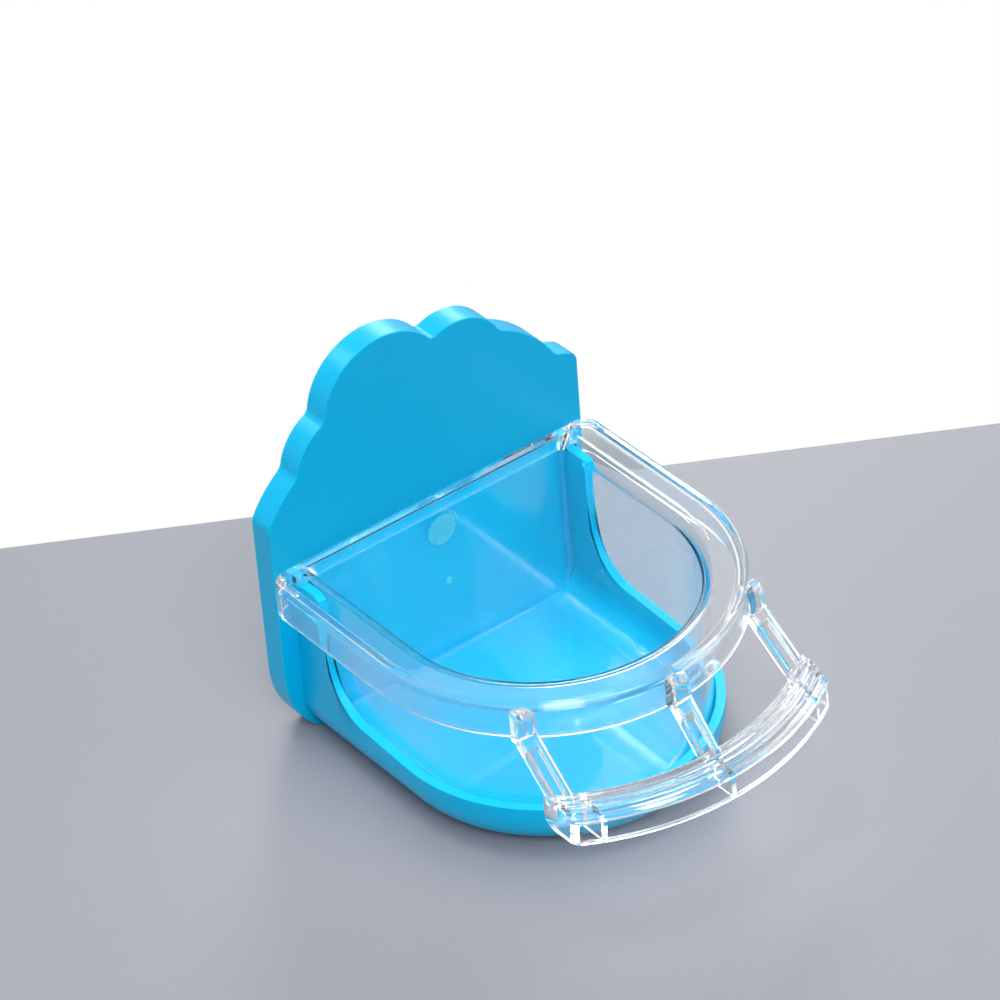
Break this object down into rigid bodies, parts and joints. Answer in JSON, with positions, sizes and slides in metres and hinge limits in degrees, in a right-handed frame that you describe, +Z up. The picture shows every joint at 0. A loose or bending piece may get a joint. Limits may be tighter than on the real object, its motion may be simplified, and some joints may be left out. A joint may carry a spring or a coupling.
{
  "type": "bird cage feeder",
  "caption": "Hang-on bird feeder: a scalloped plate with a scoop tray holds a clear D-shaped cup that has a curved ribbed perch.",
  "frame": {"origin": "on the base plane, under the middle of the plate's front face", "axes": "+X to the right seen from the front, -Y out of the cage towards the perch, +Y into the cage wires, +Z up"},
  "size_m": [0.094, 0.123, 0.098],
  "materials": {
    "holder": "glossy sky-blue polystyrene",
    "cup": "clear colourless polystyrene"
  },
  "bodies": {
    "root": {"holder": "holder", "cup": "cup"}
  },
  "joints": []
}
